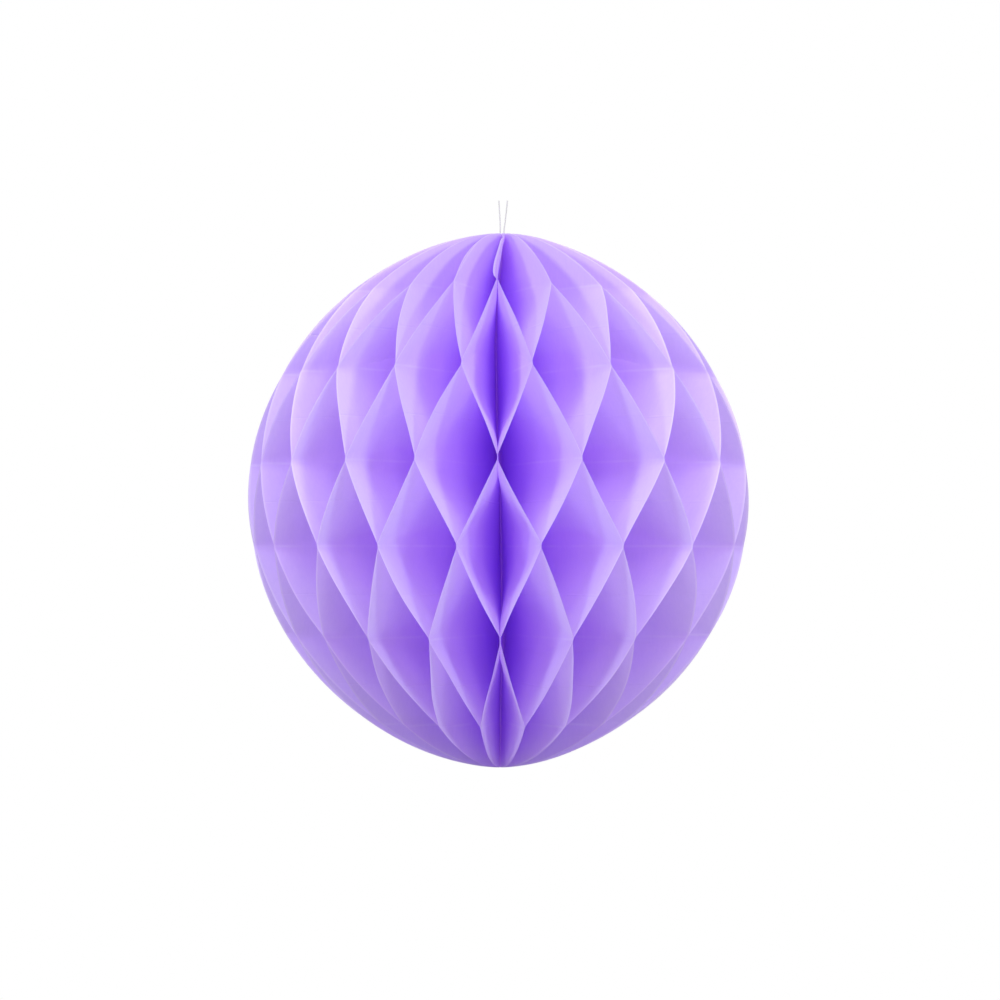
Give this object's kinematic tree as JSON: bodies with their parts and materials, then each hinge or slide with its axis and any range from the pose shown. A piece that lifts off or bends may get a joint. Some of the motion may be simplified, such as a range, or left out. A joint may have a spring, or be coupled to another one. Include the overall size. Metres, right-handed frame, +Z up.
{
  "type": "honeycomb paper ball",
  "caption": "Round hanging paper ball of half-round tissue leaves, glued in staggered rows so that they open into tall diamond cells, with a short thread at the top.",
  "frame": {"origin": "centre of the ball, on its spine", "axes": "+Z up the spine towards the thread, -Y towards the front as pictured, +X to the right as seen from the front"},
  "size_m": [0.1865, 0.1865, 0.2124],
  "materials": {
    "violet_tissue": "matt, thin and slightly translucent",
    "pale_thread": "matt spun thread"
  },
  "bodies": {
    "root": {"leaf_01": "violet_tissue", "leaf_02": "violet_tissue", "leaf_03": "violet_tissue", "leaf_04": "violet_tissue", "leaf_05": "violet_tissue", "leaf_06": "violet_tissue", "leaf_07": "violet_tissue", "leaf_08": "violet_tissue", "leaf_09": "violet_tissue", "leaf_10": "violet_tissue", "leaf_11": "violet_tissue", "leaf_12": "violet_tissue", "leaf_13": "violet_tissue", "leaf_14": "violet_tissue", "leaf_15": "violet_tissue", "leaf_16": "violet_tissue", "leaf_17": "violet_tissue", "leaf_18": "violet_tissue", "leaf_19": "violet_tissue", "leaf_20": "violet_tissue", "leaf_21": "violet_tissue", "leaf_22": "violet_tissue", "leaf_23": "violet_tissue", "leaf_24": "violet_tissue", "leaf_25": "violet_tissue", "leaf_26": "violet_tissue", "leaf_27": "violet_tissue", "leaf_28": "violet_tissue", "leaf_29": "violet_tissue", "leaf_30": "violet_tissue", "leaf_31": "violet_tissue", "leaf_32": "violet_tissue", "leaf_33": "violet_tissue", "leaf_34": "violet_tissue", "leaf_35": "violet_tissue", "leaf_36": "violet_tissue", "leaf_37": "violet_tissue", "leaf_38": "violet_tissue", "leaf_39": "violet_tissue", "leaf_40": "violet_tissue", "hanging_thread": "pale_thread"}
  },
  "joints": []
}
